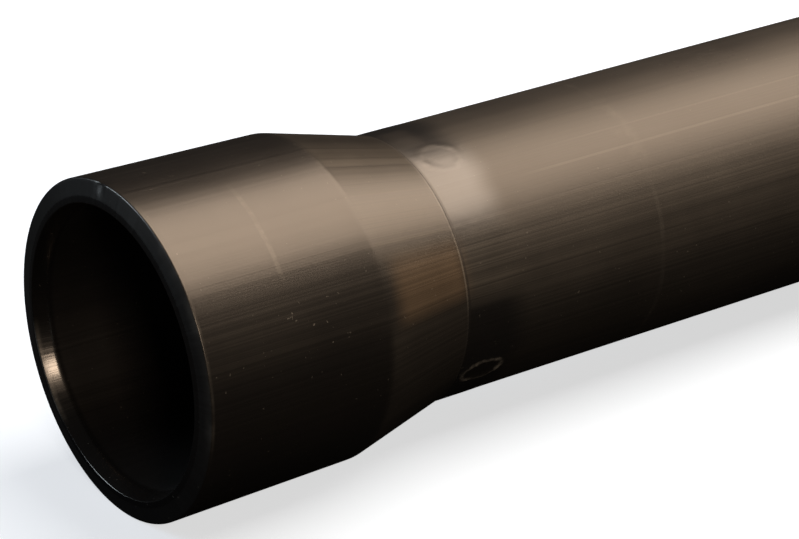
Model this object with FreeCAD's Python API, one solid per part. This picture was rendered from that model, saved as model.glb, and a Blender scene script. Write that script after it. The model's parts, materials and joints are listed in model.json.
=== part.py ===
"""Polyethylene pipe with a belled socket, in one piece: 110 mm outside, with a 10 mm wall (SDR 11).

Millimetres, +Z up. The origin is on the pipe's axis at the socket's seat, where a pushed-in pipe stops and
from where the laying length is measured. The mouth is on the -X side and the far end on the +X side.
It is stored as it lies on a level floor: the mouth's rim and the far end touch down, so its axis dips a
little towards the far end.
"""

import math
import os

import FreeCAD
import Part

# ---- driving dimensions -------------------------------------------------------------------------
PIPE_OD = 110.0  # outside diameter of the barrel
PIPE_WALL = 10.0  # wall of the barrel
LAYING_LENGTH = 500.0  # from the seat of the socket to the far end: the length that the pipe is sold by
SPIGOT_CHAMFER = 2.0  # chamfer on the outside of the cut end
SPIGOT_DEBURR = 0.6  # deburred inner corner of the cut end

SOCKET_CLEARANCE = 0.8  # radial room between the socket's bore and a pipe pushed into it
SOCKET_DEPTH = 84.0  # from the mouth to the seat that stops the pushed-in pipe
SOCKET_WALL = 10.4  # wall at the shoulder, where the socket meets its cone
SOCKET_FLARE = 1.5  # how much the outside opens from the shoulder to the mouth, on the radius
LEAD_IN_LENGTH = 6.0  # rounded entry of the socket, along the axis
LEAD_IN_DEPTH = 2.4  # the same, on the radius
RIM_SETBACK = 1.8  # the end face falls back from its inner to its outer edge
RIM_ROUND = 0.7  # broken outer edge of the end face

CONE_LENGTH = 43.4  # cone between the socket and the barrel, along the axis
SHOULDER_BLEND = 9.0  # radius that rounds the socket into the cone, outside
THROAT_BLEND = 12.0  # radius that rounds the cone into the barrel, inside
WITNESS_STEP = 0.35  # the forming tool's edge stands this proud of the barrel, on the radius
WITNESS_FADE = 2.1  # length over which that edge fades into the barrel

# ---- sizes that follow from them ----------------------------------------------------------------
BARREL_R = PIPE_OD / 2
BORE_R = BARREL_R - PIPE_WALL
SOCKET_R = BARREL_R + SOCKET_CLEARANCE
SHOULDER_R = SOCKET_R + SOCKET_WALL
MOUTH_R = SHOULDER_R + SOCKET_FLARE
LIP_R = SOCKET_R + LEAD_IN_DEPTH
WITNESS_R = BARREL_R + WITNESS_STEP
# The cone's bore runs parallel to its outside.
THROAT_LENGTH = CONE_LENGTH * (SOCKET_R - BORE_R) / (SHOULDER_R - WITNESS_R)

# The rim and the spigot's outer corner are the two lowest places, and the floor touches both.
CONTACT_SPAN = SOCKET_DEPTH - RIM_SETBACK - RIM_ROUND + LAYING_LENGTH - SPIGOT_CHAMFER
REST_TILT_DEG = math.degrees(math.atan2(MOUTH_R - BARREL_R, CONTACT_SPAN))


def point(along, radius):
    """A point of the half section: its place along the axis from the seat, and its distance from the axis."""
    return FreeCAD.Vector(along, 0, radius)


def rounded_outline(corners):
    """A closed wire of straight runs, with each corner that states a radius rounded by a tangent arc."""
    edges = []
    start = None
    first = None
    count = len(corners)
    for i, (here, radius) in enumerate(corners):
        before = corners[i - 1][0]
        after = corners[(i + 1) % count][0]
        arrive = (here - before).normalize()
        leave = (after - here).normalize()
        turn = arrive.getAngle(leave)
        setback = radius * math.tan(turn / 2)
        tangent_in = here - arrive * setback
        tangent_out = here + leave * setback
        if start is not None:
            edges.append(Part.LineSegment(start, tangent_in).toShape())
        if first is None:
            first = tangent_in
        if radius:
            inward = (leave - arrive).normalize()
            centre = here + inward * (radius / math.cos(turn / 2))
            crown = centre - inward * radius
            edges.append(Part.Arc(tangent_in, crown, tangent_out).toShape())
        start = tangent_out
    edges.append(Part.LineSegment(start, first).toShape())
    return Part.Wire(edges)


def half_section():
    """The wall's section, once round: out along the outside from the mouth, back along the bore."""
    mouth = -SOCKET_DEPTH
    far_end = LAYING_LENGTH
    return rounded_outline(
        [
            (point(mouth, LIP_R), 0),
            (point(mouth + RIM_SETBACK, MOUTH_R), RIM_ROUND),
            (point(0, SHOULDER_R), SHOULDER_BLEND),
            (point(CONE_LENGTH, WITNESS_R), 0),
            (point(CONE_LENGTH + WITNESS_FADE, BARREL_R), 0),
            (point(far_end - SPIGOT_CHAMFER, BARREL_R), 0),
            (point(far_end, BARREL_R - SPIGOT_CHAMFER), 0),
            (point(far_end, BORE_R + SPIGOT_DEBURR), 0),
            (point(far_end - SPIGOT_DEBURR, BORE_R), 0),
            (point(THROAT_LENGTH, BORE_R), THROAT_BLEND),
            (point(0, SOCKET_R), 0),
            (point(mouth + LEAD_IN_LENGTH, SOCKET_R), LEAD_IN_LENGTH),
        ]
    )


def socketed_pipe():
    """The section turned about the axis, then laid down on its rim and its far end."""
    seat = FreeCAD.Vector(0, 0, 0)
    pipe = Part.Face(half_section()).revolve(seat, FreeCAD.Vector(1, 0, 0), 360)
    pipe.rotate(seat, FreeCAD.Vector(0, 1, 0), REST_TILT_DEG)
    return pipe


def main():
    os.makedirs("parts", exist_ok=True)
    pipe = socketed_pipe()
    pipe.exportStep("parts/pipe.step")
    print(
        f"pipe: {pipe.ShapeType}, valid {pipe.isValid()}, volume {pipe.Volume / 1e6:.4f} litres, "
        f"overall length {SOCKET_DEPTH + LAYING_LENGTH:.1f} mm, tilt {REST_TILT_DEG:.3f} degrees"
    )


main()
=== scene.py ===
"""The looks of a socketed polyethylene pipe, modelled and finished around its CAD frame."""

import json
import math
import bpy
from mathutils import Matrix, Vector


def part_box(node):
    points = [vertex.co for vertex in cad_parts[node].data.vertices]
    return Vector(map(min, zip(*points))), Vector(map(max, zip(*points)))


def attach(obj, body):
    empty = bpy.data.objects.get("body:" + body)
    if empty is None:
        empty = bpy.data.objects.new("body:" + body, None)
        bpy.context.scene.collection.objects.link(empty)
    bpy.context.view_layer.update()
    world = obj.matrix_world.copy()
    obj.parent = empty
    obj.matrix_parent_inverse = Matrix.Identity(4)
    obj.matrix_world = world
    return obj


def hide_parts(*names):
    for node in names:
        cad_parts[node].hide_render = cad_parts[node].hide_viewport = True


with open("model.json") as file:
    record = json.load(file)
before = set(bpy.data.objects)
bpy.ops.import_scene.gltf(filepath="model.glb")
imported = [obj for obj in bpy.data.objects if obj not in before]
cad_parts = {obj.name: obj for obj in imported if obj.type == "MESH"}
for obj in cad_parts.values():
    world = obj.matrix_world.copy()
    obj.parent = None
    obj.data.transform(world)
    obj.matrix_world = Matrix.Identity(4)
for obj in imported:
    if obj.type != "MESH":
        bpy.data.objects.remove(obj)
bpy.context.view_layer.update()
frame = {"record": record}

from types import SimpleNamespace

import bpy
from mathutils import Vector, noise

bl_info = {
    "name": "Socketed Polyethylene Pipe",
    "version": (1, 0, 0),
    "blender": (4, 5, 0),
    "location": "View3D > Sidebar > Pipe",
    "description": "Forms a belled pipe from its section, marks it and gives it a worn satin finish",
    "category": "Object",
}

NODE = "pipe"
PIECE = "pipe_formed"
MM = 0.001

# ---- what the frame says --------------------------------------------------------------------------
MOUNTS = {mount["name"]: mount for mount in frame["record"]["mounts"]}
LOW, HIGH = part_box(NODE)
AXIS = Vector(MOUNTS["spigot"]["axis"]).normalized()  # from the mouth to the spigot end
SIDE = Vector((0, 1, 0))
UP = AXIS.cross(SIDE).normalized()  # square to the axis, and upward
SEAT = Vector(MOUNTS["socket"]["pos_m"])
SPIGOT_WALL_END = (Vector(MOUNTS["spigot"]["pos_m"]) - SEAT).dot(AXIS)
SOCKET_R = MOUNTS["socket"]["dims"]["r_mm"] * MM
BARREL_R = MOUNTS["spigot"]["dims"]["r_mm"] * MM
BORE_R = MOUNTS["pipe_bore"]["dims"]["r_mm"] * MM
MOUTH_R = (HIGH.y - LOW.y) / 2
HALF_WALL = (BARREL_R - BORE_R) / 2


def length_property(name, description, default):
    """A length in metres, shown in the scene's own units."""
    return bpy.props.FloatProperty(
        name=name, description=description, default=default, min=0, unit="LENGTH", subtype="DISTANCE",
        precision=4,
    )


def colour_property(name, description, default):
    """A colour, as linear red, green and blue."""
    return bpy.props.FloatVectorProperty(
        name=name, description=description, default=default, size=3, min=0, max=1, subtype="COLOR"
    )


def share_property(name, description, default):
    """A number from 0 to 1."""
    return bpy.props.FloatProperty(
        name=name, description=description, default=default, min=0, max=1, subtype="FACTOR"
    )


def power_property(name, description, default):
    """A light's power, in watts."""
    return bpy.props.FloatProperty(name=name, description=description, default=default, min=0, unit="POWER")


def angle_property(name, description, degrees):
    """An angle, given here in degrees."""
    return bpy.props.FloatProperty(
        name=name, description=description, default=math.radians(degrees), subtype="ANGLE"
    )


class PipeSizes(bpy.types.PropertyGroup):
    """The section's sizes. Places along the pipe count from the socket's seat, towards the spigot end."""

    socket_depth: length_property("Socket Depth", "From the mouth to the seat", 84 * MM)
    shoulder_r: length_property("Shoulder Radius", "Outside radius of the socket at its cone", 66.15 * MM)
    lip_r: length_property("Lip Radius", "Radius of the mouth's inner edge", 58.2 * MM)
    rim_setback: length_property("Rim Setback", "How far the end face falls back to its outer edge", 1.8 * MM)
    rim_round: length_property("Rim Round", "Rounding of the end face's outer edge", 0.7 * MM)
    lip_round: length_property("Lip Round", "Rounding of the mouth's inner edge", 0.5 * MM)
    lead_in: length_property("Lead-in", "Length and radius of the socket's rounded entry", 6 * MM)
    cone_length: length_property("Cone Length", "From the seat to the end of the cone", 43.4 * MM)
    throat_length: length_property("Throat Length", "The same, on the bore", 43.2 * MM)
    shoulder_blend: length_property("Shoulder Blend", "Rounding between the socket and the cone", 9 * MM)
    throat_blend: length_property("Throat Blend", "Rounding between the cone and the barrel, inside", 12 * MM)
    witness_step: length_property("Witness Step", "How proud the forming tool's edge stands", 0.35 * MM)
    witness_fade: length_property("Witness Fade", "Length over which that edge falls to the barrel", 0.5 * MM)
    spigot_chamfer: length_property("Spigot Chamfer", "Chamfer on the outside of the cut end", 2 * MM)
    spigot_deburr: length_property("Spigot Deburr", "Deburred inner corner of the cut end", 0.6 * MM)
    segments: bpy.props.IntProperty(name="Segments", description="Faces round the pipe", default=320, min=24)


class PipeFinish(bpy.types.PropertyGroup):
    """The colours and gloss of the plastic, and the colours of its painted sheen, reflection, highlights and
    shade.
    """

    plastic: colour_property("Plastic", "Black polyethylene", (0.0075, 0.0065, 0.0062))
    # This colour is real dust haze, and also painted sheen and reflection in strips turned to the light.
    dust_and_sheen_colour: colour_property("Bloom", "Dry dust and haze on the outside", (0.24, 0.2, 0.15))
    # This colour is scratched, whitened plastic, and also painted highlights on edges and the lip.
    scuff_and_highlight: colour_property("Scuff", "Scratched and whitened plastic", (0.42, 0.37, 0.3))
    # A warm reflection painted on the cone's flank, in this colour.
    painted_warm_reflection: colour_property("Warm Reflection", "Warm reflection painted on the cone", (0.24, 0.155, 0.085))
    gloss_level: share_property("Gloss Level", "Strength of the plastic's reflection", 1.0)
    sheen: colour_property("Sheen", "Tint of the plastic's reflection", (1.0, 0.87, 0.74))
    # This colour is real dirt in the gouge and spots, and also painted shade by the forming step and the drip.
    grime_and_shade: colour_property("Grime", "Dirt in the nicks and gouges", (0.006, 0.005, 0.0045))
    roughness: share_property("Roughness", "Roughness of the clean plastic", 0.37)


class PipeStage(bpy.types.PropertyGroup):
    """The camera and the light."""

    heading: angle_property("Camera Heading", "Direction that the camera looks in, from the X axis", 53.984)
    pitch: angle_property("Camera Pitch", "How far the camera looks down", 26.312)
    distance: length_property("Camera Distance", "From the camera to the point that it looks at", 1.3)
    aim: bpy.props.FloatVectorProperty(
        name="Aim", description="Point that the camera looks at", default=(0.0428, -0.0109, 0.0045),
        subtype="XYZ", unit="LENGTH", precision=4,
    )
    lens: bpy.props.FloatProperty(
        name="Lens", description="Focal length, in millimetres", default=148.69, min=1, unit="CAMERA"
    )
    softbox_power: power_property("Softbox Power", "Power of the overhead softbox", 46)
    front_power: power_property("Front Power", "Power of the small light in front of the mouth", 4)
    edge_power: power_property("Edge Power", "Power of the light that catches the mouth's edge", 6)
    warmth: colour_property("Warm Light", "Colour of the overhead and front lights", (1.0, 0.86, 0.73))
    coolness: colour_property("Cool Light", "Colour of the edge light", (0.65, 0.82, 1.0))


# ---- modelling --------------------------------------------------------------------------------------


def place(along, radius, angle=math.pi / 2):
    """A point on the pipe, from its distance from the seat, its radius and its angle from +Y towards the top."""
    return SEAT + AXIS * along + (SIDE * math.cos(angle) + UP * math.sin(angle)) * radius


def pipe_coordinates(point):
    """The distance from the seat, the radius and the angle of a point: the reverse of place."""
    arm = point - SEAT
    across, rise = arm.dot(SIDE), arm.dot(UP)
    return arm.dot(AXIS), math.hypot(across, rise), math.atan2(rise, across)


def deselect_all():
    bpy.ops.object.select_all(action="DESELECT")


def choose(piece):
    """Makes one piece selected and active."""
    deselect_all()
    piece.select_set(True)
    bpy.context.view_layer.objects.active = piece


def rounded(corners, arc_steps=6):
    """Points of a closed outline whose corners are rounded by their own radius, as tangent arcs."""
    points = []
    for i, (corner, radius) in enumerate(corners):
        here = Vector(corner)
        arrive = (here - Vector(corners[i - 1][0])).normalized()
        leave = (Vector(corners[(i + 1) % len(corners)][0]) - here).normalized()
        turn = arrive.angle(leave)
        if radius == 0 or turn < math.radians(1):
            points.append(here)
            continue
        start = here - arrive * radius * math.tan(turn / 2)
        inward = (leave - arrive).normalized()
        centre = here + inward * radius / math.cos(turn / 2)
        sense = math.copysign(1, arrive.cross(leave))
        for step in range(arc_steps + 1):
            swing = sense * turn * step / arc_steps
            arm = start - centre
            points.append(
                centre
                + Vector(
                    (
                        arm.x * math.cos(swing) - arm.y * math.sin(swing),
                        arm.x * math.sin(swing) + arm.y * math.cos(swing),
                    )
                )
            )
    return points


def ring_spacing(along, radius, sizes):
    """How far apart the rings may be: close on the worked joint and the rim, wide along the plain barrel."""
    if radius < (BARREL_R + BORE_R) / 2 or (along < sizes.cone_length / 2 and radius < SOCKET_R + 1 * MM):
        return 14 * MM
    if sizes.cone_length < along < sizes.cone_length + 27 * MM:
        return 0.75 * MM
    if along < 0:
        return 2.6 * MM
    return 3.5 * MM if along < 180 * MM else 9 * MM


def with_rings(outline, sizes):
    """The outline with its long runs divided into rings."""
    points = []
    for here, after in zip(outline, outline[1:] + outline[:1]):
        points.append(here)
        run = after - here
        gone = 0.0
        while True:
            at = here + run * (gone / run.length)
            gone += ring_spacing(at.x, at.y, sizes)
            if gone > run.length - 0.3 * MM:
                break
            points.append(here + run * (gone / run.length))
    return points


def section(sizes):
    """The wall's section as (place along the axis, radius), once round from the mouth's lip."""
    mouth = -sizes.socket_depth
    end = SPIGOT_WALL_END + sizes.spigot_chamfer
    cone = sizes.cone_length
    corners = [
        ((mouth, sizes.lip_r), sizes.lip_round),
        ((mouth + sizes.rim_setback, MOUTH_R), sizes.rim_round),
        ((0, sizes.shoulder_r), sizes.shoulder_blend),
        ((cone, BARREL_R + sizes.witness_step), 0.15 * MM),
        ((cone + sizes.witness_fade, BARREL_R), 0.3 * MM),
        ((end - sizes.spigot_chamfer, BARREL_R), 0.4 * MM),
        ((end, BARREL_R - sizes.spigot_chamfer), 0.3 * MM),
        ((end, BORE_R + sizes.spigot_deburr), 0.2 * MM),
        ((end - sizes.spigot_deburr, BORE_R), 0.2 * MM),
        ((sizes.throat_length, BORE_R), sizes.throat_blend),
        ((0, SOCKET_R), 1.5 * MM),
        ((mouth + sizes.lead_in, SOCKET_R), sizes.lead_in),
    ]
    return with_rings(rounded(corners), sizes)


def spin_section(points, segments):
    """Extrudes one vertex along the section, then spins it round the axis into a closed shell."""
    deselect_all()
    bpy.ops.mesh.primitive_plane_add(size=2 * MM, location=(0, 0, 0))
    piece = bpy.context.object
    bpy.ops.object.mode_set(mode="EDIT")
    bpy.ops.mesh.select_mode(type="VERT")
    bpy.ops.mesh.select_all(action="SELECT")
    bpy.ops.mesh.merge(type="CENTER")
    bpy.ops.transform.translate(value=place(*points[0]))
    for here, after in zip(points, points[1:] + points[:1]):
        step = place(*after) - place(*here)
        bpy.ops.mesh.extrude_region_move(TRANSFORM_OT_translate={"value": step})
    bpy.ops.mesh.select_all(action="SELECT")
    bpy.ops.mesh.spin(steps=segments, angle=math.tau, center=SEAT, axis=AXIS)
    bpy.ops.mesh.select_all(action="SELECT")
    bpy.ops.mesh.remove_doubles(threshold=0.01 * MM)
    bpy.ops.mesh.normals_make_consistent(inside=False)
    bpy.ops.object.mode_set(mode="OBJECT")
    return piece


def smooth_step(value, start, end):
    """0 at start, 1 at end, and smooth between them."""
    share = min(max((value - start) / (end - start), 0), 1)
    return share * share * (3 - 2 * share)


def press(piece, name, height, weight_of):
    """Raises the surface by height times a weight worked out from each vertex's place on the pipe."""
    group = piece.vertex_groups.new(name=name)
    for vertex in piece.data.vertices:
        weight = weight_of(*pipe_coordinates(vertex.co))
        if weight > 0.001:
            group.add([vertex.index], weight, "REPLACE")
    modifier = piece.modifiers.new(name, "DISPLACE")
    modifier.vertex_group = name
    modifier.mid_level = 0
    modifier.strength = height
    choose(piece)
    bpy.ops.object.modifier_apply(modifier=name)
    piece.vertex_groups.remove(piece.vertex_groups[name])


def patch_place(along, radius, angle, centre_along, centre_angle):
    """How far a place lies from a patch's centre: along the pipe, and round it."""
    swing = (angle - centre_angle + math.pi) % math.tau - math.pi
    return along - centre_along, swing * radius


# Where the pressed marks lie: along from the seat, and the angle from +Y towards the top.
SCAR = (55.4 * MM, math.radians(209.2))
SCAR_HALF = (9.4 * MM, 5.4 * MM)
DRIP = (57 * MM, math.radians(107.5))
DRIP_HALF = (8.5 * MM, 7.5 * MM)
NICK = (-83.2 * MM, math.radians(84))
NICK_REACH = 3.2 * MM
BAND_START = 42 * MM
BAND_END = 66 * MM
OUTLINE_GRAIN = 5 * MM  # size of the unevenness in an oval's outline
OUTLINE_RAGGED = 0.2  # and its share of the oval's size


def on_barrel(radius):
    """Whether a vertex is on the outside of the barrel."""
    return BORE_R + HALF_WALL < radius < BARREL_R + 0.6 * MM


def oval_distance(along, radius, angle, centre, half):
    """1 on the oval's uneven outline, less inside it."""
    run, round_it = patch_place(along, radius, angle, *centre)
    ragged = noise.noise(Vector((along, radius * math.cos(angle), radius * math.sin(angle))) / OUTLINE_GRAIN)
    return math.hypot(run / half[0], round_it / half[1]) + OUTLINE_RAGGED * ragged


def scar_rim(along, radius, angle):
    """The burr thrown up round the gouge."""
    far = oval_distance(along, radius, angle, SCAR, SCAR_HALF)
    return on_barrel(radius) * smooth_step(abs(far - 1), start=0.22, end=0.02)


def scar_floor(along, radius, angle):
    """The shallow gouge inside it."""
    far = oval_distance(along, radius, angle, SCAR, SCAR_HALF)
    return on_barrel(radius) * smooth_step(far, start=0.95, end=0.55)


def drip_edge(along, radius, angle):
    """The rounded edge where melted plastic ran and set."""
    far = oval_distance(along, radius, angle, DRIP, DRIP_HALF)
    return on_barrel(radius) * smooth_step(abs(far - 1), start=0.3, end=0.05)


def band_swell(along, radius, angle):
    """The reheated band behind the cone, which bulges a little and dies out unevenly."""
    slow_wave = 2.2 * MM * math.sin(3 * angle + 0.6)
    quick_wave = 1.2 * MM * math.sin(7 * angle)
    edge = BAND_END + slow_wave + quick_wave
    rise = smooth_step(along, start=BAND_START, end=BAND_START + 6 * MM)
    return on_barrel(radius) * rise * smooth_step(along, start=edge + 4 * MM, end=edge - 6 * MM)


def rim_nick(along, radius, angle):
    """A chip knocked out of the rim's outer edge."""
    run, round_it = patch_place(along, radius, angle, *NICK)
    near_nick = smooth_step(math.hypot(run, round_it), start=NICK_REACH, end=0.6 * MM)
    return near_nick * smooth_step(radius, start=MOUTH_R - 5 * MM, end=MOUTH_R - 1 * MM)


# How far each mark stands proud of the surface, or sinks into it.
PRESSED_MARKS = (
    ("band", 0.12 * MM, band_swell),
    ("drip", 0.1 * MM, drip_edge),
    ("scar_rim", 0.3 * MM, scar_rim),
    ("scar_floor", -0.3 * MM, scar_floor),
    ("nick", -0.9 * MM, rim_nick),
)


class OBJECT_OT_pipe_form(bpy.types.Operator):
    """Spin the wall's section into the pipe, with its socket, cone, forming edge and cut end"""

    bl_idname = "object.pipe_form"
    bl_label = "Form the Pipe"

    def execute(self, context):
        sizes = context.scene.pipe_sizes
        piece = spin_section(section(sizes), sizes.segments)
        piece.name = piece.data.name = PIECE
        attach(piece, "root")
        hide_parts(NODE)
        return {"FINISHED"}


class OBJECT_OT_pipe_marks(bpy.types.Operator):
    """Press the marks of making and handling into the pipe: reheated band, drip, gouge and chipped rim"""

    bl_idname = "object.pipe_marks"
    bl_label = "Press the Marks"

    def execute(self, context):
        piece = bpy.data.objects[PIECE]
        for name, height, weight_of in PRESSED_MARKS:
            press(piece, name, height, weight_of)
        choose(piece)
        bpy.ops.object.shade_smooth_by_angle(angle=math.radians(28))
        return {"FINISHED"}


# ---- shader helpers -----------------------------------------------------------------------------


class Wire:
    """A shader socket that takes part in plain arithmetic."""

    def __init__(self, graph, socket):
        self.graph = graph
        self.socket = socket

    def __add__(self, other):
        return self.graph.maths("ADD", self, other)

    def __sub__(self, other):
        return self.graph.maths("SUBTRACT", self, other)

    def __rsub__(self, other):
        return self.graph.maths("SUBTRACT", other, self)

    def __mul__(self, other):
        return self.graph.maths("MULTIPLY", self, other)

    def __truediv__(self, other):
        return self.graph.maths("DIVIDE", self, other)

    __radd__ = __add__
    __rmul__ = __mul__


class Graph:
    """A node tree that is written as expressions."""

    def __init__(self, tree):
        self.tree = tree
        tree.nodes.clear()

    def node(self, kind, sockets=None, output=0, **settings):
        """Adds a node, sets it, feeds its sockets, and returns one of its outputs."""
        node = self.tree.nodes.new(kind)
        for name, setting in settings.items():
            setattr(node, name, setting)
        for key, value in (sockets or {}).items():
            self.feed(node.inputs[key], value)
        return Wire(self, node.outputs[output]) if node.outputs else node

    def feed(self, socket, value):
        if isinstance(value, Wire):
            self.tree.links.new(value.socket, socket)
        elif socket.type == "RGBA" and len(value) == 3:
            socket.default_value = (*value, 1)
        else:
            socket.default_value = value

    def maths(self, operation, *values):
        return self.node("ShaderNodeMath", dict(enumerate(values)), operation=operation)

    def dot(self, vector, direction):
        sockets = {0: vector, 1: direction}
        return self.node("ShaderNodeVectorMath", sockets, output="Value", operation="DOT_PRODUCT")

    def ramp(self, value, start, end):
        """0 at start, 1 at end, and smooth between them."""
        sockets = {"Value": value, "From Min": start, "From Max": end}
        return self.node("ShaderNodeMapRange", sockets, interpolation_type="SMOOTHSTEP")

    def near(self, value, centre, half, soft):
        """1 within half of the centre, and 0 beyond half plus soft."""
        return self.ramp(self.maths("ABSOLUTE", value - centre), half + soft, half)

    def either(self, *masks):
        """The largest of some masks."""
        best = masks[0]
        for mask in masks[1:]:
            best = self.maths("MAXIMUM", best, mask)
        return best

    def noise(self, vector, scale, detail=3.0, roughness=0.5, distortion=0.0):
        sockets = {
            "Vector": vector, "Scale": scale, "Detail": detail, "Roughness": roughness,
            "Distortion": distortion,
        }
        return self.node("ShaderNodeTexNoise", sockets)

    def vector(self, x, y, z):
        return self.node("ShaderNodeCombineXYZ", {0: x, 1: y, 2: z})

    def mix(self, factor, below, above):
        """A colour between two others."""
        sockets = {0: factor, 6: below, 7: above}
        return self.node("ShaderNodeMix", sockets, output=2, data_type="RGBA", clamp_factor=True)


class PipeSurface:
    """Where a shaded point lies on the pipe, for masks and patterns."""

    def __init__(self, graph):
        self.graph = graph
        here = graph.node("ShaderNodeTexCoord", output="Object")
        self.here = here
        self.along = graph.dot(here, AXIS)
        across = graph.dot(here, SIDE)
        rise = graph.dot(here, UP)
        self.radius = graph.maths("SQRT", across * across + rise * rise)
        self.across = across / self.radius
        self.rise = rise / self.radius

    def facing(self, degrees):
        """The cosine of the angle between this place and a direction round the pipe."""
        angle = math.radians(degrees)
        return self.across * math.cos(angle) + self.rise * math.sin(angle)

    def arc(self, degrees, half, soft):
        """1 within half of an angle round the pipe, in degrees, and 0 beyond half plus soft."""
        outer, inner = math.cos(math.radians(half + soft)), math.cos(math.radians(half))
        return self.graph.ramp(self.facing(degrees), outer, inner)

    def round_from(self, angle):
        """How far round the pipe this place is from an angle, as a length, on the pipe's near side."""
        return (self.rise * math.cos(angle) - self.across * math.sin(angle)) * self.radius

    def oval(self, centre, half, wander=0.0):
        """1 on an oval's outline, less inside, and large on the far side of the pipe."""
        run = (self.along - centre[0]) / half[0]
        round_it = self.round_from(centre[1]) / half[1]
        far = self.graph.maths("SQRT", run * run + round_it * round_it)
        behind = self.graph.ramp(self.facing(math.degrees(centre[1])), 0.3, 0.0)
        return far + behind * 20 + wander

    def streaks(self, across_scale, along_scale, shift=0.0, **options):
        """Noise drawn out along the pipe, with no seam round it."""
        stretched = self.graph.vector(self.along * along_scale + shift, self.across, self.rise)
        return self.graph.noise(stretched, across_scale, **options)

    def patch(self, place, half, soft, arc_half, arc_soft, wander=0.0):
        """1 within a patch: a run along the pipe about a place, and an arc round it, in degrees."""
        along, degrees = place
        run = self.graph.near(self.along + wander, along, half, soft)
        return run * self.arc(degrees, arc_half, arc_soft)


# Where the marks that are only in the finish lie: along from the seat, and degrees from +Y towards the top.
SOCKET_HOOP = (-41.4 * MM, 124)
BARREL_HOOP = (140 * MM, 118)
BARREL_RING = 141.5 * MM
SCRATCHES = (127, 117)
SPECKS = (-40 * MM, 160)
DIRT = (205 * MM, 90)
# The next place is a painted shadow spot beside the drip, near the top.
SHADOW_SPOT = (51 * MM, 88)
DARK_LINE = (141 * MM, 192)
# The next place is a warm reflection painted on the cone's flank.
WARM_REFLECTION = (25 * MM, 157)
RIM_WEAR_ANGLE = 150
# The next angle is where a highlight is painted on the mouth's inner lip.
LIP_HIGHLIGHT_ANGLE = 329
WANDER = 14 * MM  # how far an edge that runs round the pipe wanders along it

# How strongly each mark whitens the plastic, and how strongly each darkens it; some of these are painted
# highlights and painted shade.
PALE_SHARES = {
    "socket_hoop": 0.22,
    "barrel_hoop": 0.13,
    "barrel_ring": 0.05,
    "scratches": 0.13,
    "specks": 0.35,
    "dust": 0.18,
    "forming_edge_and_highlight": 0.3,
    "scar_burr": 0.8,
    "drip_highlight": 0.1,
    "rim_wear": 0.14,
    "lip_highlight": 0.3,
}
DARK_SHARES = {
    "dirt": 0.8,
    "shadow_spot": 0.7,
    "dark_line": 0.6,
    "forming_step_shade": 0.6,
    "scar_inside": 0.85,
    "drip_shade": 0.2,
}

# How the dust haze lies on each part, with painted sheen and reflection in a strip turned to the light (its
# angle, half width and soft edge, in degrees), how much more lies in the strip, as painted sheen, and how much
# dust lies everywhere.
DUST_AND_SHEEN = {
    "socket": ((153, 6, 14), 0.06, 0.01),
    "cone": ((122, 12, 22), 0.2, 0.08),
    "plain": ((135, 10, 45), 0.12, 0.05),
    "band": ((156, 6, 15), 0.26, 0.0),
}


def surface_patterns(g, s):
    """The lines, clouds and breaks that make tones and marks uneven, and the outlines of the ovals."""
    p = SimpleNamespace()
    p.fine = s.streaks(across_scale=95, along_scale=0.03, detail=2)
    p.middling = s.streaks(across_scale=30, along_scale=0.05, shift=3.1, detail=3, roughness=0.6)
    broad = s.streaks(across_scale=7, along_scale=0.12, shift=7.7, detail=2)
    p.lines = p.fine * 0.45 + p.middling * 0.35 + broad * 0.2
    p.streaky = (p.lines - 0.5) * 3.2 + 1.0
    p.cloud = g.noise(s.here, scale=26, detail=4, roughness=0.6)
    p.grit = g.noise(s.here, scale=900, detail=2)
    p.broken = g.ramp(g.noise(s.here, scale=150, detail=4, roughness=0.65), 0.4, 0.65)
    p.dabs = g.ramp(g.noise(s.here, scale=75, detail=3, roughness=0.6), 0.42, 0.66)
    p.wave = (g.noise(g.vector(0.0, s.across, s.rise), scale=2.2, detail=2) - 0.5) * WANDER
    p.scar = s.oval(SCAR, SCAR_HALF, (g.noise(s.here, scale=190, detail=3) - 0.5) * 0.7)
    p.drip = s.oval(DRIP, DRIP_HALF, (g.noise(s.here, scale=120, detail=3) - 0.5) * 0.9)
    return p


def pipe_parts(g, s, p, sizes):
    """Masks for the parts of the pipe: 1 on the part, and 0 off it."""
    cone = sizes.cone_length
    mouth = -sizes.socket_depth
    cut_end = SPIGOT_WALL_END + sizes.spigot_chamfer
    mid_wall = g.ramp(s.along, 0.0, cone) * (BORE_R - SOCKET_R) + SOCKET_R + HALF_WALL
    z = SimpleNamespace()
    z.inside = g.ramp(s.radius - mid_wall, 0.6 * MM, -0.6 * MM)
    z.lead_in = z.inside * g.ramp(s.along, mouth + 9 * MM, mouth + 5 * MM)
    z.end_face = g.ramp(s.along, mouth + 2.2 * MM, mouth + 1.6 * MM)
    z.cut_face = g.ramp(s.along, cut_end - 1.9 * MM, cut_end - 1.6 * MM)
    z.outside = (1 - z.inside) * (1 - z.end_face) * (1 - z.cut_face)
    z.socket = g.ramp(s.along, 3 * MM, -3 * MM)
    past_cone = g.ramp(s.along, cone - 1 * MM, cone + 0.6 * MM)
    z.cone = (1 - z.socket) * (1 - past_cone)
    z.band = past_cone * g.ramp(s.along + p.wave, BAND_END + 10 * MM, BAND_END - 6 * MM) * z.outside
    z.plain = past_cone * (1 - z.band)
    return z


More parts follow.
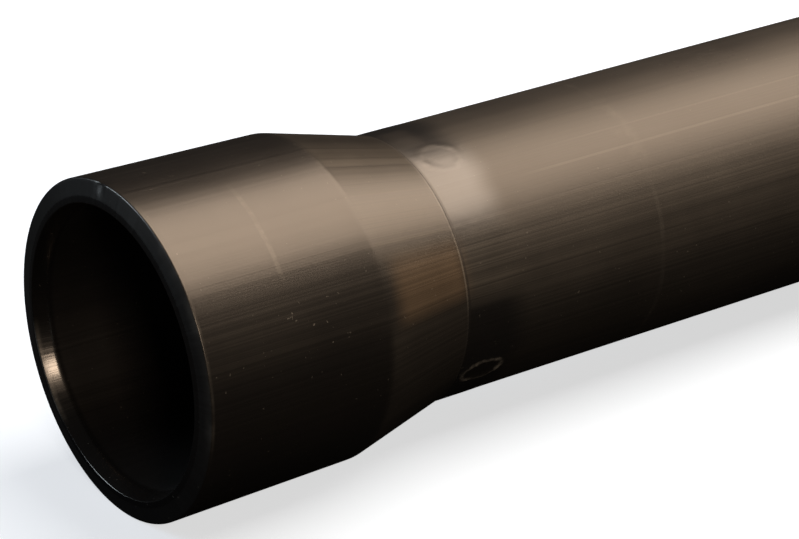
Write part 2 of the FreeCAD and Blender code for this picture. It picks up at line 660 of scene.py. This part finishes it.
def pale_marks(g, s, p, z, sizes):
    """Masks of the marks that whiten the plastic, by name: scuffs, scratches, dust and wear, and painted
    highlights.
    """
    mouth = -sizes.socket_depth
    # A pale line on the forming edge: partly the edge's own pale plastic, partly a painted highlight, brighter
    # on the side turned to the light.
    forming_edge_and_highlight = g.near(s.along, sizes.cone_length - 0.3 * MM, half=0.2 * MM, soft=0.3 * MM)
    first_angle, second_angle = SCRATCHES
    first_scratch = s.arc(first_angle, 0.3, 0.4) * g.ramp(s.along, 75 * MM, 110 * MM)
    second_scratch = s.arc(second_angle, 0.2, 0.3) * g.ramp(s.along, 90 * MM, 140 * MM) * 0.7
    ring = g.near(s.along + p.wave * 0.1, BARREL_RING, half=0.4 * MM, soft=1.2 * MM)
    # A painted highlight along the mouth's inner lip.
    lip = g.near(s.radius, sizes.lip_r, half=0.3 * MM, soft=0.7 * MM)
    lip = lip * s.arc(LIP_HIGHLIGHT_ANGLE, 9, 14) * g.ramp(s.along, mouth + 3 * MM, mouth + 1 * MM)
    rim = s.patch((mouth + 2.1 * MM, RIM_WEAR_ANGLE), 0.3 * MM, 1.0 * MM, 20, 35)
    hoop = s.patch(SOCKET_HOOP, 0.4 * MM, 1.1 * MM, 12, 9, wander=p.wave * 0.12)
    specks = g.ramp(g.noise(s.here, scale=520, detail=1), 0.71, 0.76)
    return {
        "socket_hoop": hoop * (p.broken * 0.7 + 0.3),
        "barrel_hoop": s.patch(BARREL_HOOP, 1.5 * MM, 6 * MM, 14, 10, wander=p.wave * 0.4) * p.dabs,
        "barrel_ring": ring * z.outside * (p.dabs * 0.7 + 0.3),
        "scratches": g.either(first_scratch, second_scratch) * z.plain,
        "specks": specks * s.patch(SPECKS, 17 * MM, 6 * MM, 6, 6),
        "dust": g.ramp(g.noise(s.here, scale=680, detail=1, roughness=0.3), 0.77, 0.81),
        "forming_edge_and_highlight": forming_edge_and_highlight * z.outside * (s.arc(140, 15, 25) * 0.7 + 0.15) * (p.cloud * 1.4),
        "scar_burr": g.near(p.scar, 1.0, half=0.02, soft=0.2) * (p.broken * 0.8 + 0.2),
        # A painted highlight round the drip's raised edge.
        "drip_highlight": g.near(p.drip, 1.02, half=0.02, soft=0.2) * z.outside * (p.broken * 0.7 + 0.3),
        "rim_wear": rim * (p.dabs * 0.7 + 0.3),
        "lip_highlight": lip * (p.broken * 0.5 + 0.5),
    }


def dark_marks(g, s, p, z, sizes):
    """Masks of the marks that darken the plastic, by name: dirt and dark lines, and painted shade."""
    spots = g.ramp(g.noise(s.here, scale=330, detail=2), 0.58, 0.66)
    line = s.patch(DARK_LINE, 0.6 * MM, 0.9 * MM, 8, 5, wander=p.wave * 0.1)
    # Painted shade in the crease just past the forming tool's proud edge.
    step_shade = g.near(s.along, sizes.cone_length + 0.9 * MM, half=0.3 * MM, soft=0.5 * MM)
    return {
        "dirt": spots * s.patch(DIRT, 14 * MM, 8 * MM, 5, 5) * z.outside,
        # A painted shadow spot just past the drip, towards the top.
        "shadow_spot": s.patch(SHADOW_SPOT, 3 * MM, 6 * MM, 4, 8, wander=p.wave * 0.5) * z.outside,
        "dark_line": line * (p.dabs * 0.6 + 0.4),
        "forming_step_shade": step_shade * z.outside,
        "scar_inside": g.ramp(p.scar, 1.0, 0.8),
        # Painted shade just inside the drip's raised edge.
        "drip_shade": g.near(p.drip, 0.8, half=0.03, soft=0.16) * z.outside * (p.dabs * 0.6 + 0.4),
    }


def strongest(g, masks, shares):
    """The strongest of some marks, each by its own share."""
    return g.either(*(masks[name] * share for name, share in shares.items()))


def pipe_material(sizes, finish):
    """Black polyethylene: satin, drawn in fine lines along the pipe, hazed and worn at its marks, and with
    sheen, reflection, highlights and shade painted into its colour.
    """
    material = bpy.data.materials.new("worn_black_polyethylene")
    material.use_nodes = True
    g = Graph(material.node_tree)
    s = PipeSurface(g)
    p = surface_patterns(g, s)
    z = pipe_parts(g, s, p, sizes)
    pale = strongest(g, pale_marks(g, s, p, z, sizes), PALE_SHARES)
    dark = strongest(g, dark_marks(g, s, p, z, sizes), DARK_SHARES)

    # colour
    # Dust haze on each part, with painted sheen and reflection in the strip turned to the light.
    dust_and_sheen = 0.0
    for part, (strip, more, all_over) in DUST_AND_SHEEN.items():
        dust_and_sheen = dust_and_sheen + getattr(z, part) * (s.arc(*strip) * more + all_over)
    dust_and_sheen = dust_and_sheen * p.streaky * (p.cloud + 0.5)
    dust_and_sheen = g.maths("MAXIMUM", dust_and_sheen * z.outside + z.cut_face * 0.12, 0.0)
    colour = g.mix(dust_and_sheen, finish.plastic, finish.dust_and_sheen_colour)
    # A warm reflection painted on the lit flank of the cone.
    warm_reflection = s.patch(WARM_REFLECTION, 13 * MM, 11 * MM, 3, 12) * (p.streaky * 0.45 + p.cloud * 0.6) * z.outside
    colour = g.mix(warm_reflection * 0.55, colour, finish.painted_warm_reflection)
    # Scuffs, dust and wear, and painted highlights on the forming edge, the drip's edge and the lip.
    colour = g.mix(pale, colour, finish.scuff_and_highlight)
    # Dirt and dark lines, and painted shade at the forming step, beside the drip and near the top.
    colour = g.mix(dark, colour, finish.grime_and_shade)

    # gloss
    roughness = finish.roughness + (p.lines - 0.5) * 0.25 + (p.cloud - 0.5) * 0.1 + pale * 0.15 + dark * 0.15
    roughness = roughness + z.plain * 0.12 - z.socket * 0.02 - z.band * 0.01
    roughness = roughness + z.inside * 0.08 - z.lead_in * 0.2 + z.cut_face * 0.2
    polish = g.maths("MINIMUM", z.band * (p.streaky * 0.35 + p.cloud * 0.75), 1.0) * (1 - dark)

    # relief, in millimetres
    saw_lines = g.vector(0.0, s.across * s.radius * 1100, s.rise * s.radius * 45)
    relief = (p.fine * 0.5 + p.middling * 0.8) * 0.035 + p.grit * 0.006 + p.cloud * 0.05
    relief = relief + z.band * g.noise(s.here, scale=60, detail=2) * 0.18
    relief = relief + pale * 0.04 - dark * 0.03 + g.noise(saw_lines, scale=1.0, detail=2) * z.cut_face * 0.12
    bump = g.node("ShaderNodeBump", {"Strength": 1.0, "Distance": 1 * MM, "Height": relief}, output="Normal")

    shader = g.node(
        "ShaderNodeBsdfPrincipled",
        {
            "Base Color": colour,
            "Roughness": roughness,
            "Normal": bump,
            "IOR": 1.6,
            "Specular IOR Level": finish.gloss_level,
            "Specular Tint": finish.sheen,
            "Coat Weight": polish,
            "Coat Roughness": 0.33,
            "Coat IOR": 1.6,
        },
    )
    g.node("ShaderNodeOutputMaterial", {"Surface": shader})
    return material


class OBJECT_OT_pipe_finish(bpy.types.Operator):
    """Give the pipe its worn, satin black polyethylene"""

    bl_idname = "object.pipe_finish"
    bl_label = "Finish the Plastic"

    def execute(self, context):
        piece = bpy.data.objects[PIECE]
        piece.data.materials.clear()
        piece.data.materials.append(pipe_material(context.scene.pipe_sizes, context.scene.pipe_finish))
        return {"FINISHED"}


# ---- stage --------------------------------------------------------------------------------------


def floor_material():
    """White to the camera, with the pipe's shadow on it, and dim in the pipe's own reflections."""
    material = bpy.data.materials.new("studio_floor")
    material.use_nodes = True
    g = Graph(material.node_tree)
    seen = g.node("ShaderNodeLightPath", output="Is Camera Ray")
    lit = g.node("ShaderNodeBsdfDiffuse", {"Color": (0.66, 0.765, 0.9)})
    glow = g.node("ShaderNodeEmission", {"Color": (1, 1, 1), "Strength": 0.62})
    bright = g.node("ShaderNodeAddShader", {0: lit, 1: glow})
    dim = g.node("ShaderNodeBsdfDiffuse", {"Color": (0.012, 0.0125, 0.013)})
    surface = g.node("ShaderNodeMixShader", {0: seen, 1: dim, 2: bright})
    g.node("ShaderNodeOutputMaterial", {"Surface": surface})
    return material


# Where each light stands, the point that it faces, its width and depth, and whether it is cool.
LIGHTS = {
    "overhead_softbox": ((1.45, -0.16, 1.25), (1.45, -0.16, 0), (2.7, 1.5), False),
    "front_light": ((-0.55, -1.3, 0.72), (-0.08, 0, 0), (0.28, 0.28), False),
    "edge_light": ((-1.0, 0.9, 0.5), (-0.08, 0, 0), (0.5, 0.5), True),
}
FLOOR_SIZE = 14


def area_light(name, location, target, size, power, colour):
    """A rectangular softbox that faces a point, its long side level."""
    deselect_all()
    bpy.ops.object.light_add(type="AREA", location=location)
    lamp = bpy.context.object
    lamp.name = name
    lamp.data.shape = "RECTANGLE"
    lamp.data.size, lamp.data.size_y = size
    lamp.data.energy = power
    lamp.data.color = colour
    lamp.rotation_euler = (Vector(target) - Vector(location)).to_track_quat("-Z", "Y").to_euler()
    return lamp


class OBJECT_OT_pipe_stage(bpy.types.Operator):
    """Set the floor, the light and the camera round the pipe"""

    bl_idname = "object.pipe_stage"
    bl_label = "Set the Stage"

    def execute(self, context):
        stage = context.scene.pipe_stage
        deselect_all()
        bpy.ops.mesh.primitive_plane_add(size=FLOOR_SIZE, location=(0, 0, LOW.z))
        floor = context.object
        floor.name = "studio_floor"
        floor.data.materials.append(floor_material())

        powers = (stage.softbox_power, stage.front_power, stage.edge_power)
        for (name, (location, target, size, cool)), power in zip(LIGHTS.items(), powers):
            area_light(name, location, target, size, power, stage.coolness if cool else stage.warmth)

        world = bpy.data.worlds.new("studio_world")
        context.scene.world = world
        world.use_nodes = True
        g = Graph(world.node_tree)
        seen = g.node("ShaderNodeLightPath", output="Is Camera Ray")
        dim = g.node("ShaderNodeBackground", {"Color": (0.9, 0.95, 1.0), "Strength": 0.015})
        white = g.node("ShaderNodeBackground", {"Color": (1, 1, 1), "Strength": 1.0})
        surface = g.node("ShaderNodeMixShader", {0: seen, 1: dim, 2: white})
        g.node("ShaderNodeOutputWorld", {"Surface": surface})

        level = math.cos(stage.pitch)
        ahead = Vector((math.cos(stage.heading), math.sin(stage.heading), 0))
        look = ahead * level - Vector((0, 0, math.sin(stage.pitch)))
        deselect_all()
        bpy.ops.object.camera_add(location=Vector(stage.aim) - look * stage.distance)
        camera = context.object
        camera.name = "camera"
        camera.rotation_euler = look.to_track_quat("-Z", "Y").to_euler()
        camera.data.lens = stage.lens
        context.scene.camera = camera
        context.scene.view_settings.view_transform = "Standard"
        return {"FINISHED"}


class VIEW3D_PT_pipe(bpy.types.Panel):
    """Lists the steps and their sizes"""

    bl_label = "Socketed Pipe"
    bl_idname = "VIEW3D_PT_pipe"
    bl_space_type = "VIEW_3D"
    bl_region_type = "UI"
    bl_category = "Pipe"

    def draw(self, context):
        for operator in OPERATORS:
            self.layout.operator(operator.bl_idname)
        for group in (context.scene.pipe_sizes, context.scene.pipe_finish, context.scene.pipe_stage):
            box = self.layout.box()
            for name in group.__annotations__:
                box.prop(group, name)


OPERATORS = (OBJECT_OT_pipe_form, OBJECT_OT_pipe_marks, OBJECT_OT_pipe_finish, OBJECT_OT_pipe_stage)
GROUPS = {"pipe_sizes": PipeSizes, "pipe_finish": PipeFinish, "pipe_stage": PipeStage}


def register():
    for kind in (*GROUPS.values(), *OPERATORS, VIEW3D_PT_pipe):
        bpy.utils.register_class(kind)
    for name, kind in GROUPS.items():
        setattr(bpy.types.Scene, name, bpy.props.PointerProperty(type=kind))


def unregister():
    for name in GROUPS:
        delattr(bpy.types.Scene, name)
    for kind in (VIEW3D_PT_pipe, *OPERATORS, *GROUPS.values()):
        bpy.utils.unregister_class(kind)


def main():
    register()
    bpy.ops.object.pipe_form()
    bpy.ops.object.pipe_marks()
    bpy.ops.object.pipe_finish()
    bpy.ops.object.pipe_stage()


if __name__ == "__main__":
    main()
